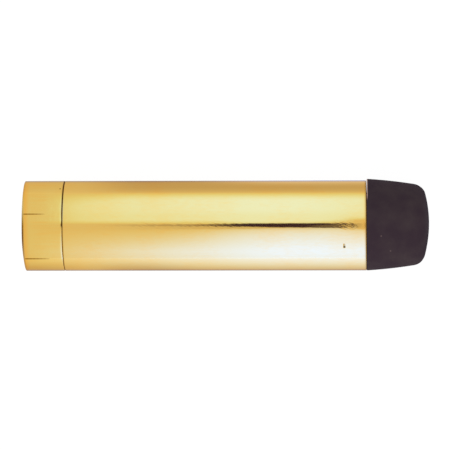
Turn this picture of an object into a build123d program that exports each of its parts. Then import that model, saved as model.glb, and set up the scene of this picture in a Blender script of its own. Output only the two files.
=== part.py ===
from build123d import *
import os

# Cylinder door stop for a wall or a skirting board, in three pieces on one axis: a turned brass
# base that a screw holds to the wall, a brass tube barrel screwed onto the base, and a moulded
# rubber buffer pushed into the barrel's open end.
# +X runs from the wall to the tip of the buffer, and +Z is up. The origin is on the axis, at the
# face that meets the wall. Sizes are in millimetres.

# Outside, shared by the base and the barrel
outside_diameter = 16.0
joint_edge_break = 0.15  # on both edges of the joint, which shows as one fine line

# Wall base
collar_length = 7.1
back_edge_break = 0.15
web_thickness = 6.2  # from the wall to the floor of the driver recess
screw_hole_diameter = 4.5  # clearance for a countersunk wood screw of 4 mm
countersink_diameter = 8.6
countersink_angle = 90.0
driver_recess_clearance = 0.5  # on radius, round the screw's head

# Screw joint, with the fine thread drawn plain on both pieces
thread_height = 0.5
thread_clearance = 0.05  # on radius
spigot_length = 6.5
spigot_lead = 0.5
relief_width = 1.0  # groove at the shoulder, where the thread runs out
relief_depth = 0.6
thread_runout = 0.8  # how much deeper the barrel is threaded than the spigot is long

# Barrel
barrel_length = 53.7
barrel_wall = 1.5
barrel_tip_round = 0.15
mouth_chamfer = 0.35  # inner edge at both ends

# Buffer head
rim_overhang = 0.15  # the rubber stands this much proud of the barrel
head_length = 11.1
head_draw_in = 1.18  # on radius, from the rim to the corner
side_bulge = 0.15
dome_height = 1.15
corner_radius = 2.45

# Buffer stem, with barbed ribs that slide in one way and grip the other
stem_length = 11.0
stem_lead = 0.5
neck_length = 2.0  # plain stretch behind the head
neck_root = 0.4  # sloped root where the neck leaves the head
rib_count = 3
rib_height = 1.1
rib_land = 0.4
rib_gap = 0.6  # plain stem between two ribs
rib_clearance = 0.02  # on radius, between a rib's land and the bore

# Radii and stations along the axis that follow from the sizes above
outside_radius = outside_diameter / 2
bore_radius = outside_radius - barrel_wall
thread_radius = bore_radius + thread_height
spigot_radius = thread_radius - thread_clearance
relief_radius = spigot_radius - relief_depth
driver_recess_radius = countersink_diameter / 2 + driver_recess_clearance
rim_radius = outside_radius + rim_overhang
corner_start_radius = rim_radius - head_draw_in
rib_radius = bore_radius - rib_clearance
stem_radius = rib_radius - rib_height
rib_pitch = (stem_length - neck_length) / rib_count
spigot_end = collar_length + spigot_length
barrel_end = collar_length + barrel_length
buffer_tip = barrel_end + head_length
stem_end = barrel_end - stem_length

# Wall base: collar, thread relief and spigot are one turned outline
with BuildPart() as wall_base:
    with BuildSketch():
        with BuildLine():
            Polyline(
                (0, 0),
                (0, outside_radius),
                (collar_length, outside_radius),
                (collar_length, relief_radius),
                (collar_length + relief_width, relief_radius),
                (collar_length + relief_width + relief_depth, spigot_radius),
                (spigot_end, spigot_radius),
                (spigot_end, 0),
                close=True,
            )
        make_face()
    revolve(axis=Axis.X)
    circles = wall_base.edges().filter_by(GeomType.CIRCLE).group_by(Axis.X)
    chamfer(circles[0], back_edge_break)
    chamfer(circles[1].sort_by(SortBy.RADIUS)[-1], joint_edge_break)
    chamfer(circles[-1], spigot_lead)
    with BuildSketch(Plane.YZ.offset(web_thickness)):
        Circle(driver_recess_radius)
    extrude(amount=spigot_end - web_thickness, mode=Mode.SUBTRACT)
    with Locations(Plane.YZ.offset(web_thickness)):
        CounterSinkHole(
            screw_hole_diameter / 2,
            countersink_diameter / 2,
            depth=web_thickness,
            counter_sink_angle=countersink_angle,
        )

# Barrel: a tube, threaded at the end that takes the spigot
with BuildPart() as barrel:
    with BuildSketch(Plane.YZ.offset(collar_length)):
        Circle(outside_radius)
        Circle(bore_radius, mode=Mode.SUBTRACT)
    extrude(amount=barrel_length)
    with BuildSketch(Plane.YZ.offset(collar_length)):
        Circle(thread_radius)
    extrude(amount=spigot_length + thread_runout, mode=Mode.SUBTRACT)
    circles = barrel.edges().filter_by(GeomType.CIRCLE).group_by(Axis.X)
    back_mouth, back_rim = circles[0].sort_by(SortBy.RADIUS)
    front_mouth, front_rim = circles[-1].sort_by(SortBy.RADIUS)
    chamfer([back_mouth, front_mouth], mouth_chamfer)
    chamfer(back_rim, joint_edge_break)
    fillet(front_rim, barrel_tip_round)

# Buffer: a tapered head with a domed face, and a barbed stem behind it
with BuildPart() as buffer:
    with BuildSketch() as head_outline:
        with BuildLine():
            side = SagittaArc(
                (barrel_end, rim_radius),
                (buffer_tip - dome_height, corner_start_radius),
                side_bulge,
            )
            dome = TangentArc((buffer_tip, 0), side @ 1, tangent=(0, 1))
            Polyline(dome @ 0, (barrel_end, 0), side @ 0)
        make_face()
        fillet(head_outline.vertices().sort_by_distance(side @ 1)[0], corner_radius)
    with BuildSketch():
        with BuildLine():
            Polyline(
                (barrel_end, 0),
                (barrel_end, stem_radius + neck_root),
                (barrel_end - neck_root, stem_radius),
                (stem_end + stem_lead, stem_radius),
                (stem_end, stem_radius - stem_lead),
                (stem_end, 0),
                close=True,
            )
        make_face()
    revolve(axis=Axis.X)
    for rib in range(rib_count):
        rib_face = barrel_end - neck_length - rib * rib_pitch
        ramp_end = rib_face - rib_pitch + rib_gap
        with BuildSketch():
            with BuildLine():
                Polyline(
                    (rib_face, 0),
                    (rib_face, rib_radius),
                    (rib_face - rib_land, rib_radius),
                    (ramp_end, stem_radius),
                    (ramp_end, 0),
                    close=True,
                )
            make_face()
        revolve(axis=Axis.X)

wall_base.part.label = "wall_base"
barrel.part.label = "barrel"
buffer.part.label = "buffer"

os.makedirs("parts", exist_ok=True)
export_step(wall_base.part, "parts/wall_base.step")
export_step(barrel.part, "parts/barrel.step")
export_step(buffer.part, "parts/buffer.step")
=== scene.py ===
"""Looks of a cylinder door stop: a turned brass base, a drawn brass barrel and a rubber buffer.

Sizes are in millimetres until a mesh is made, which is in metres. +X runs from the wall to the
tip, and +Z is up. An angle round the axis is measured from straight up towards +Y, so that
y = r sin(angle) and z = r cos(angle).
"""

import logging
import math
from collections.abc import Sequence
from dataclasses import dataclass, field
from enum import Enum

import bpy
import numpy as np
from mathutils import Matrix, Vector


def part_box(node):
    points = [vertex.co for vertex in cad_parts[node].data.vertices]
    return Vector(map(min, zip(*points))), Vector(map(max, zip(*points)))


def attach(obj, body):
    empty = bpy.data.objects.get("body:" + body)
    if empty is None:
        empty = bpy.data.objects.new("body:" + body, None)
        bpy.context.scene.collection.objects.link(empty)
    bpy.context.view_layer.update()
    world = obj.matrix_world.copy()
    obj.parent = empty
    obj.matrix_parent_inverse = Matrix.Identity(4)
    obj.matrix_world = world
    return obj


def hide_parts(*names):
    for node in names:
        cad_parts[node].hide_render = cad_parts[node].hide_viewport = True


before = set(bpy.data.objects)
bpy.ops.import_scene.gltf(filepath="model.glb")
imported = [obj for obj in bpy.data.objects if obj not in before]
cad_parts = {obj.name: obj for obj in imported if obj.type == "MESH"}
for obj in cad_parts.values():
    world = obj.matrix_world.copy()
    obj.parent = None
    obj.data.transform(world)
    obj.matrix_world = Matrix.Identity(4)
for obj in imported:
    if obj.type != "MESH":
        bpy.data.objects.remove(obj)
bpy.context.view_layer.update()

MM = 0.001
BODY = "root"
log = logging.getLogger("door_stop")


def smoothstep(low: float, high: float, value: np.ndarray) -> np.ndarray:
    """Rises smoothly from 0 at low to 1 at high, as t * t * (3 - 2 t), or falls if low > high."""
    t = np.clip((value - low) / (high - low), 0.0, 1.0)
    return t * t * (3.0 - 2.0 * t)


def hump(middle: float, width: float, value: np.ndarray) -> np.ndarray:
    """Is 1 at the middle and fades on both sides, as exp(-t * t) with t counted in widths."""
    return np.exp(-(((value - middle) / width) ** 2))


def linear_colour(hex_code: str) -> tuple[float, float, float, float]:
    """Turns an sRGB hex colour into the linear one that shaders take.

    Args:
        hex_code: A colour such as "#E2BC68".

    Returns:
        Linear red, green and blue, and an alpha of 1.
    """
    srgb = [int(hex_code[i : i + 2], 16) / 255 for i in (1, 3, 5)]
    linear = [c / 12.92 if c <= 0.04045 else ((c + 0.055) / 1.055) ** 2.4 for c in srgb]
    return (*linear, 1.0)


def add_node(
    tree: bpy.types.NodeTree, kind: str, inputs: dict | None = None, **settings: object
) -> bpy.types.Node:
    """Adds a node with its settings and links.

    Args:
        tree: The node tree that the node joins.
        kind: The node's type name.
        inputs: For each input, by name or number, a value or the output socket that feeds it.
        **settings: The node's own properties.

    Returns:
        The new node.
    """
    node = tree.nodes.new(kind)
    for key, value in settings.items():
        setattr(node, key, value)
    for key, value in (inputs or {}).items():
        if isinstance(value, bpy.types.NodeSocket):
            tree.links.new(value, node.inputs[key])
        else:
            node.inputs[key].default_value = value
    return node


def new_material(name: str) -> tuple[bpy.types.Material, bpy.types.NodeTree]:
    """Makes an empty node material.

    Args:
        name: Its name.

    Returns:
        The material and its node tree.
    """
    material = bpy.data.materials.new(name)
    material.use_nodes = True
    material.node_tree.nodes.clear()
    return material, material.node_tree


def stacked_relief(
    tree: bpy.types.NodeTree,
    reliefs: Sequence[tuple[bpy.types.NodeSocket, float | bpy.types.NodeSocket]],
) -> bpy.types.NodeSocket:
    """Adds bumps on top of each other.

    Args:
        tree: The node tree that they join.
        reliefs: For each bump, its pattern, and its full height in metres or the socket with it.

    Returns:
        The normal that they give.
    """
    below: dict[str, bpy.types.NodeSocket] = {}
    for pattern, height in reliefs:
        inputs = {"Strength": 1.0, "Distance": height, "Height": pattern, **below}
        below = {"Normal": add_node(tree, "ShaderNodeBump", inputs).outputs["Normal"]}
    return below["Normal"]


# Turned surfaces


class Look(Enum):
    """What a piece shows in places. Each look's strength is an attribute of the mesh."""

    # Dirt, and painted shade in the joints and on the end edges of the brass.
    GRIME_AND_SHADE = "grime_and_shade"
    STAIN = "stain"
    OXIDE = "oxide"
    LACQUER = "lacquer"
    SCUFF = "scuff"
    # Painted light in the buffer's edge by the barrel.
    DUST_AND_GLEAM = "dust_and_gleam"


class Ends(Enum):
    """How a turned outline ends: as a ring that closes on itself, or on the axis at both ends."""

    RING = "ring"
    ON_AXIS = "on axis"


@dataclass(frozen=True)
class Corner:
    """A corner of a turned outline.

    Args:
        x: Station along the axis.
        r: Distance from the axis.
        rounding: Radius of the round that takes the corner's place.
        step: Longest spacing of mesh rows on the run to the next corner. Without one, the run
            has no rows between its ends.
    """

    x: float
    r: float
    rounding: float = 0.0
    step: float | None = None


ROUND_STEPS = 6
ROUND_SUPPORT = 0.03  # beside a round, a row that keeps the flat run's shading flat


def round_off(before: Corner, corner: Corner, after: Corner) -> np.ndarray:
    """Points of one rounded corner.

    Between two runs that meet at the angle g, a round of radius q starts q / tan(g / 2) from the
    corner on both, and its centre is q / sin(g / 2) from it, on the line that halves the angle.

    Args:
        before: The corner before it.
        corner: The corner to round off.
        after: The corner after it.

    Returns:
        An array of stations and radii, with a supporting point at each end.
    """
    here = np.array([corner.x, corner.r])
    back = np.array([before.x, before.r]) - here
    onward = np.array([after.x, after.r]) - here
    back, onward = back / np.linalg.norm(back), onward / np.linalg.norm(onward)
    half = math.acos(float(np.clip(back @ onward, -1.0, 1.0))) / 2
    middle = (back + onward) / np.linalg.norm(back + onward)
    centre = here + middle * corner.rounding / math.sin(half)
    reach = corner.rounding / math.tan(half)
    start, end = here + back * reach - centre, here + onward * reach - centre
    first, last = math.atan2(start[1], start[0]), math.atan2(end[1], end[0])
    sweep = (last - first + math.pi) % (2 * math.pi) - math.pi
    angles = first + sweep * np.linspace(0.0, 1.0, ROUND_STEPS + 1)
    arc = centre + corner.rounding * np.column_stack([np.cos(angles), np.sin(angles)])
    return np.vstack([arc[0] + back * ROUND_SUPPORT, arc, arc[-1] + onward * ROUND_SUPPORT])


def outline(corners: Sequence[Corner], ends: Ends) -> np.ndarray:
    """Points of a turned outline: straight runs, filled with rows, between rounded corners.

    Args:
        corners: Its corners, in the order that runs towards +X on the outside.
        ends: Whether it closes on itself.

    Returns:
        An array of stations and radii.
    """
    ring = ends is Ends.RING
    stretches = [
        np.array([[c.x, c.r]]) if c.rounding == 0.0 else round_off(corners[i - 1], c, after)
        for i, (c, after) in enumerate(zip(corners, [*corners[1:], corners[0]]))
    ]
    rows = []
    for i, (corner, stretch) in enumerate(zip(corners, stretches)):
        rows.append(stretch)
        if corner.step is None or (i == len(corners) - 1 and not ring):
            continue
        start, end = stretch[-1], stretches[(i + 1) % len(stretches)][0]
        count = math.ceil(np.linalg.norm(end - start) / corner.step)
        rows.append(start + (end - start) * np.linspace(0.0, 1.0, count + 1)[1:-1, None])
    return np.vstack(rows)


def column_angles(count: int, fine: Sequence[tuple[float, float]] = ()) -> np.ndarray:
    """Angles of a mesh's columns: evenly round the axis, and closer where there is fine detail.

    Args:
        count: How many even columns.
        fine: For each fine place, its angle and half its width, in degrees.

    Returns:
        The angles in radians, from -pi, in rising order.
    """
    per_place = 17
    even = np.linspace(-180.0, 180.0, count, endpoint=False)
    close = [np.linspace(angle - half, angle + half, per_place) for angle, half in fine]
    return np.radians(np.unique(np.round(np.concatenate([even, *close]), 4)))


@dataclass
class TurnedSkin:
    """A surface turned about the X axis, as a grid of rows along the outline and columns round it.

    Args:
        x: Station of each grid point.
        r: Its distance from the axis.
        angle: Its angle round the axis.
        ends: Whether the outline closes on itself.
        shift_y: How far each point is moved towards +Y.
        looks: How strong each look is at each point, from 0 to 1.
    """

    x: np.ndarray
    r: np.ndarray
    angle: np.ndarray
    ends: Ends
    shift_y: np.ndarray = field(init=False)
    looks: dict[Look, np.ndarray] = field(init=False)

    def __post_init__(self) -> None:
        """Starts with a clean skin on the axis."""
        self.shift_y = np.zeros_like(self.x)
        self.looks = {look: np.zeros_like(self.x) for look in Look}

    @classmethod
    def spun(cls, points: np.ndarray, angles: np.ndarray, ends: Ends) -> "TurnedSkin":
        """Carries an outline round the axis.

        Args:
            points: The outline's stations and radii.
            angles: The columns' angles.
            ends: Whether the outline closes on itself.

        Returns:
            The skin, with x and r the same in every column.
        """
        x, angle = np.meshgrid(points[:, 0], angles, indexing="ij")
        return cls(x, np.repeat(points[:, 1:], len(angles), axis=1), angle, ends)

    def outside(self) -> np.ndarray:
        """Whether each point is on the outside, within 1 mm of the largest radius."""
        return self.r > self.r.max() - 1.0

    def show(self, look: Look, strength: np.ndarray) -> None:
        """Adds a look where it is stronger than what is there."""
        self.looks[look] = np.maximum(self.looks[look], np.clip(strength, 0.0, 1.0))

    def sink(self, depth: np.ndarray, filling: Look) -> None:
        """Sinks the skin towards the axis, and fills the dip with a look.

        Args:
            depth: How deep each point goes.
            filling: The look, which is full from 60% of the greatest depth down.
        """
        full_from = 0.6
        deepest = max(float(depth.max()), 1e-9)
        self.r = self.r - depth
        self.show(filling, depth / deepest / full_from)

    def mesh(self, name: str) -> bpy.types.Mesh:
        """Makes the mesh: y = r sin(angle) + shift_y and z = r cos(angle), with closed seams.

        Each quad joins two neighbouring rows and columns. The last column joins the first, and so
        do the rows of a ring. On an outline that ends on the axis, a fan of triangles closes each
        end round one point.

        Args:
            name: The mesh's name.

        Returns:
            The mesh, with each look's strength as an attribute.
        """
        rows, columns = self.x.shape
        turned_y = self.r * np.sin(self.angle) + self.shift_y
        grid = np.stack([self.x, turned_y, self.r * np.cos(self.angle)], axis=-1)
        ring = self.ends is Ends.RING
        row = np.arange(rows if ring else rows - 1)[:, None]
        column = np.arange(columns)[None, :]
        after, beside = (row + 1) % rows, (column + 1) % columns
        quads = np.stack(
            [
                row * columns + column,
                after * columns + column,
                after * columns + beside,
                row * columns + beside,
            ],
            axis=-1,
        )
        points = grid.reshape(-1, 3)
        looks = {look.value: strength.ravel() for look, strength in self.looks.items()}
        triangles = np.empty((0, 3), int)
        if not ring:
            first, last = quads[0], quads[-1]
            inner = (rows - 2) * columns
            quads = quads[1:-1] - columns
            start_fan = np.column_stack(
                [np.full(columns, inner), first[:, 1] - columns, first[:, 2] - columns]
            )
            end_fan = np.column_stack(
                [last[:, 0] - columns, np.full(columns, inner + 1), last[:, 3] - columns]
            )
            triangles = np.vstack([start_fan, end_fan])
            kept = np.r_[columns : len(points) - columns, 0, len(points) - columns]
            points = points[kept]
            looks = {key: strength[kept] for key, strength in looks.items()}
        return make_mesh(name, points, quads.reshape(-1, 4), triangles, looks)


def make_mesh(
    name: str,
    points: np.ndarray,
    quads: np.ndarray,
    triangles: np.ndarray,
    values: dict[str, np.ndarray],
) -> bpy.types.Mesh:
    """Puts whole arrays into a smooth-shaded mesh.

    Args:
        name: The mesh's name.
        points: Vertex positions in millimetres.
        quads: Four vertex numbers for each quad.
        triangles: Three vertex numbers for each triangle.
        values: Named numbers, or colours of four, for each vertex.

    Returns:
        The mesh, in metres.
    """
    mesh = bpy.data.meshes.new(name)
    corners = np.concatenate([quads.ravel(), triangles.ravel()]).astype(np.int32)
    quad_starts = np.arange(len(quads)) * 4
    triangle_starts = len(quads) * 4 + np.arange(len(triangles)) * 3
    starts = np.concatenate([quad_starts, triangle_starts]).astype(np.int32)
    mesh.vertices.add(len(points))
    mesh.vertices.foreach_set("co", (points * MM).astype(np.float32).ravel())
    mesh.loops.add(len(corners))
    mesh.loops.foreach_set("vertex_index", corners)
    mesh.polygons.add(len(starts))
    mesh.polygons.foreach_set("loop_start", starts)
    mesh.update(calc_edges=True)
    for key, value in values.items():
        single = value.ndim == 1
        attribute = mesh.attributes.new(key, "FLOAT" if single else "FLOAT_COLOR", "POINT")
        attribute.data.foreach_set("value" if single else "color", value.astype(np.float32).ravel())
    mesh.shade_smooth()
    return mesh


def add_object(mesh: bpy.types.Mesh, material: bpy.types.Material) -> bpy.types.Object:
    """Puts a mesh into the scene, at the origin and unturned.

    Args:
        mesh: The mesh, in its place.
        material: Its material.

    Returns:
        The object.
    """
    mesh.materials.append(material)
    made = bpy.data.objects.new(mesh.name, mesh)
    bpy.context.scene.collection.objects.link(made)
    return made


def stand_for(
    mesh: bpy.types.Mesh, material: bpy.types.Material, node: str
) -> bpy.types.Object:
    """Makes a mesh the shown piece of a CAD node.

    Args:
        mesh: The piece's mesh, in its place.
        material: Its finish.
        node: The CAD node that it replaces.

    Returns:
        The piece.
    """
    sharpest_smooth = 38.0
    mesh.set_sharp_from_angle(angle=math.radians(sharpest_smooth))
    piece = add_object(mesh, material)
    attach(piece, BODY)
    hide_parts(node)
    return piece


# Sizes that the pieces share


@dataclass(frozen=True)
class Stations:
    """Places along the axis, and radii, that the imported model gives.

    Args:
        back: The face that meets the wall.
        joint: Where base and barrel meet.
        spigot_end: The inner end of the base's spigot.
        stem_end: The inner end of the buffer's stem.
        barrel_end: Where barrel and buffer head meet.
        tip: The buffer's furthest point.
        outside: Radius of base and barrel.
        rim: Radius of the buffer's rim.
    """

    back: float
    joint: float
    spigot_end: float
    stem_end: float
    barrel_end: float
    tip: float
    outside: float
    rim: float

    @classmethod
    def of_frame(cls) -> "Stations":
        """Reads the nodes' boxes.

        Returns:
            The places and radii.
        """
        base_low, base_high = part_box("wall_base")
        barrel_low, barrel_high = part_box("barrel")
        buffer_low, buffer_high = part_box("buffer")
        return cls(
            back=base_low.x / MM,
            joint=barrel_low.x / MM,
            spigot_end=base_high.x / MM,
            stem_end=buffer_low.x / MM,
            barrel_end=barrel_high.x / MM,
            tip=buffer_high.x / MM,
            outside=max(barrel_high.y, barrel_high.z) / MM,
            rim=max(buffer_high.y, buffer_high.z) / MM,
        )

    def on_outside(self, r: np.ndarray) -> np.ndarray:
        """Is 1 on the outside of base and barrel, and 0 from 1 mm under it inwards."""
        return smoothstep(self.outside - 1.0, self.outside - 0.5, r)


# Marks on the brass


@dataclass(frozen=True)
class ScoreLine:
    """A hair line scored into the base, from its back edge along the axis.

    Args:
        angle: Its angle round the axis, in degrees.
        length: How far it runs before it fades out.
        width: Its width.
        depth: Its depth.
        beat: Spacing of the small waves in its depth.
        waver: Height of these waves, as a share of the depth.
    """

    angle: float
    length: float
    width: float = 0.29
    depth: float = 0.008
    beat: float = 0.62
    waver: float = 0.1

    def relief(self, skin: TurnedSkin) -> np.ndarray:
        """Depth of the line: a V that wavers along it and fades as the root of what is left.

        Args:
            skin: The surface that it is scored into.

        Returns:
            The depth at each point.
        """
        across = np.abs(skin.angle - math.radians(self.angle)) * skin.r / (self.width / 2)
        waves = 1.0 - self.waver + self.waver * np.sin(2 * math.pi * skin.x / self.beat)
        left = np.clip(1.0 - skin.x / self.length, 0.0, 1.0)
        fade = np.sqrt(left) * smoothstep(0.1, 0.5, skin.x)
        return self.depth * np.clip(1.0 - across, 0.0, 1.0) * waves * fade * skin.outside()


@dataclass(frozen=True)
class Pit:
    """A small casting pit in the brass.

    Args:
        x: Station of its middle.
        angle: Its angle round the axis, in degrees.
        length: Its size along the axis.
        width: Its size round the axis.
        depth: Its depth.
    """

    x: float
    angle: float
    length: float
    width: float
    depth: float

    def relief(self, skin: TurnedSkin) -> np.ndarray:
        """Depth of the pit: depth * (1 - d * d) with d the distance over the pit's half size.

        Args:
            skin: The surface that it is in.

        Returns:
            The depth at each point.
        """
        along = (skin.x - self.x) / (self.length / 2)
        round_axis = (skin.angle - math.radians(self.angle)) * skin.r / (self.width / 2)
        return self.depth * np.clip(1.0 - along**2 - round_axis**2, 0.0, 1.0) * skin.outside()


@dataclass(frozen=True)
class FineThread:
    """The right-hand screw thread that joins base and barrel.

    Args:
        pitch: Advance for one turn.
        height: From root to crest.
        flat: Width of the flats at root and crest, as a share of the pitch.
        rows: Mesh rows to one pitch.
    """

    pitch: float = 1.0
    height: float = 0.5
    flat: float = 0.125
    rows: int = 14

    @property
    def step(self) -> float:
        """Spacing of the mesh rows that show it."""
        return self.pitch / self.rows

    def groove(self, x: np.ndarray, angle: np.ndarray) -> np.ndarray:
        """Depth under the crests: a V with flats, a function of x / pitch + angle / one turn.

        Args:
            x: Stations.
            angle: Angles round the axis.

        Returns:
            The depth at each point.
        """
        phase = (x / self.pitch + angle / (2 * math.pi)) % 1.0
        flank = (np.abs(2 * phase - 1) - self.flat) / (1 - 2 * self.flat)
        return self.height * np.clip(flank, 0.0, 1.0)


# Finishes


@dataclass(frozen=True)
class Grain:
    """Fine marks along the axis, drawn as stretched noise.

    Args:
        length: Their length.
        width: Their width.
        height: From the noise's lowest to its highest point.
        slant: How far they are turned towards +Y, in degrees.
    """

    length: float
    width: float
    height: float
    slant: float = 0.0

    def noise(self, tree: bpy.types.NodeTree, place: bpy.types.NodeSocket) -> bpy.types.NodeSocket:
        """Adds the noise.

        Args:
            tree: The node tree that it joins.
            place: The coordinates.

        Returns:
            The noise, from 0 to 1.
        """
        mapping = add_node(
            tree,
            "ShaderNodeMapping",
            {
                "Vector": place,
                "Rotation": (0.0, 0.0, math.radians(self.slant)),
                "Scale": (self.length * MM, self.width * MM, self.width * MM),
            },
            vector_type="TEXTURE",
        )
        inputs = {"Vector": mapping.outputs["Vector"], "Scale": 1.0, "Detail": 1.5}
        return add_node(tree, "ShaderNodeTexNoise", inputs).outputs["Fac"]


class BrassStock(Enum):
    """How a brass piece was made, and the lines that this leaves along it.

    The lines are as long as real ones, but wider, because real ones are too fine to show.
    """

    TURNED = Grain(6.0, 0.3, 0.0022)
    DRAWN = Grain(1.1, 0.32, 0.0016)


@dataclass(frozen=True)
class LacqueredBrass:
    """Yellow brass, machined, polished and lacquered.

    The eye gets a deep yellow mirror under a thin clear coat, which stays yellow where it curves
    away. Faint lines run along the axis, turned faces have fine rings, and slanting scuffs on the
    barrel, most of them near the tip, fray the edges of what it reflects. Where the lacquer has
    pooled it is a little orange. Where it is broken the brass has gone brown, and in a pit a
    greenish grey. The same brown is also painted shade in the joint and on the end edges.

    Args:
        name: The material's name.
        stock: How the brass was made.
        brass: Its colour where it is clean.
        warm: Its colour where the lacquer is thick.
        stain: Its colour in a scored line.
        tarnish_and_shade: Its colour under dirt and under painted shade at joints and end edges.
        oxide: Its colour in a pit of the barrel.
        away: Its colour's tint at a grazing angle.
        roughness: Of the clean metal.
        grime_and_shade_roughness: Of the metal under dirt and painted shade.
        coat: Strength of the lacquer's own shine.
        coat_roughness: Roughness of the lacquer.
        ripples: What polishing leaves.
        scuffs: What handling leaves, where the mesh says so.
        patch: Size of the patches where the lacquer is thick.
        ring_spacing: From one turned ring to the next, coarser than real ones so that they show.
        ring_height: Height of the rings.
    """

    name: str
    stock: BrassStock
    brass: str = "#DFB760"
    warm: str = "#E6AC4A"
    stain: str = "#8C5E06"
    # Also the colour of the painted shade in the joints and on the end edges.
    tarnish_and_shade: str = "#704608"
    oxide: str = "#424F3F"
    away: str = "#FAE8C4"
    roughness: float = 0.055
    grime_and_shade_roughness: float = 0.55
    coat: float = 0.12
    coat_roughness: float = 0.08
    ripples: Grain = Grain(9.0, 2.4, 0.003)
    scuffs: Grain = Grain(1.5, 0.24, 0.010, -14.0)
    patch: float = 7.0
    ring_spacing: float = 0.35
    ring_height: float = 0.0016

    def relief(
        self,
        tree: bpy.types.NodeTree,
        place: bpy.types.NodeSocket,
        lines: bpy.types.NodeSocket,
        scuffed: bpy.types.NodeSocket,
    ) -> bpy.types.NodeSocket:
        """Adds the ripples, lines and scuffs, and on turned brass the rings.

        Args:
            tree: The node tree that they join.
            place: The coordinates.
            lines: The pattern of the lines.
            scuffed: How strong the scuffs are.

        Returns:
            The normal that they give.
        """
        scuff_height = add_node(
            tree, "ShaderNodeMapRange", {"Value": scuffed, "To Max": self.scuffs.height * MM}
        )
        reliefs = [
            (self.ripples.noise(tree, place), self.ripples.height * MM),
            (lines, self.stock.value.height * MM),
            (self.scuffs.noise(tree, place), scuff_height.outputs["Result"]),
        ]
        if self.stock is BrassStock.TURNED:
            waves_per_unit = 20 / (2 * math.pi)
            ring_scale = 1 / (waves_per_unit * self.ring_spacing * MM)
            rings = add_node(
                tree,
                "ShaderNodeTexWave",
                {"Vector": place, "Scale": ring_scale, "Distortion": 1.5, "Detail": 1.0},
                wave_type="RINGS",
                rings_direction="X",
            )
            reliefs.append((rings.outputs["Fac"], self.ring_height * MM))
        return stacked_relief(tree, reliefs)

    def colour(
        self,
        tree: bpy.types.NodeTree,
        place: bpy.types.NodeSocket,
        lines: bpy.types.NodeSocket,
        shown: dict[Look, bpy.types.NodeSocket],
    ) -> bpy.types.NodeSocket:
        """Adds the brass's colours: clean, then warm in streaky patches, then stains, dirt and
        painted shade.

        Args:
            tree: The node tree that they join.
            place: The coordinates.
            lines: The pattern of the lines, which makes the patches streaky.
            shown: How strong each look is.

        Returns:
            The colour.
        """
        line_share, patch_start, patch_full, patch_strength = 0.4, 0.45, 0.7, 0.5
        patches = add_node(
            tree,
            "ShaderNodeTexNoise",
            {"Vector": place, "Scale": 1 / (self.patch * MM), "Detail": 3.0},
        )
        streaky = add_node(
            tree,
            "ShaderNodeMix",
            {"Factor": line_share, "A": patches.outputs["Fac"], "B": lines},
            data_type="FLOAT",
        )
        patchy = add_node(
            tree,
            "ShaderNodeMapRange",
            {
                "Value": streaky.outputs["Result"],
                "From Min": patch_start,
                "From Max": patch_full,
                "To Max": patch_strength,
            },
        )
        yellowed = add_node(
            tree,
            "ShaderNodeMath",
            {0: patchy.outputs["Result"], 1: shown[Look.LACQUER]},
            operation="MAXIMUM",
        )
        colour: bpy.types.NodeSocket | tuple[float, ...] = linear_colour(self.brass)
        for strength, tint in (
            (yellowed.outputs["Value"], self.warm),
            (shown[Look.STAIN], self.stain),
            # Dirt, and painted shade in the joints and on the end edges.
            (shown[Look.GRIME_AND_SHADE], self.tarnish_and_shade),
            (shown[Look.OXIDE], self.oxide),
        ):
            inputs = {"Factor": strength, "A": colour, "B": linear_colour(tint)}
            mixed = add_node(tree, "ShaderNodeMix", inputs, data_type="RGBA")
            colour = mixed.outputs["Result"]
        return colour

    def material(self) -> bpy.types.Material:
        """Builds the material.

        Returns:
            The material.
        """
        material, tree = new_material(self.name)
        place = add_node(tree, "ShaderNodeTexCoord").outputs["Object"]
        lines = self.stock.value.noise(tree, place)
        shown = {
            look: add_node(tree, "ShaderNodeAttribute", attribute_name=look.value).outputs["Fac"]
            for look in (Look.GRIME_AND_SHADE, Look.STAIN, Look.OXIDE, Look.LACQUER, Look.SCUFF)
        }
        dulled = add_node(
            tree,
            "ShaderNodeMapRange",
            {
                "Value": shown[Look.GRIME_AND_SHADE],
                "To Min": self.roughness,
                "To Max": self.grime_and_shade_roughness,
            },
        )
        shader = add_node(
            tree,
            "ShaderNodeBsdfPrincipled",
            {
                "Base Color": self.colour(tree, place, lines, shown),
                "Roughness": dulled.outputs["Result"],
                "Metallic": 1.0,
                "Specular Tint": linear_colour(self.away),
                "Coat Weight": self.coat,
                "Coat Roughness": self.coat_roughness,
                "Normal": self.relief(tree, place, lines, shown[Look.SCUFF]),
            },
        )
        add_node(tree, "ShaderNodeOutputMaterial", {"Surface": shader.outputs["BSDF"]})
        return material


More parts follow.
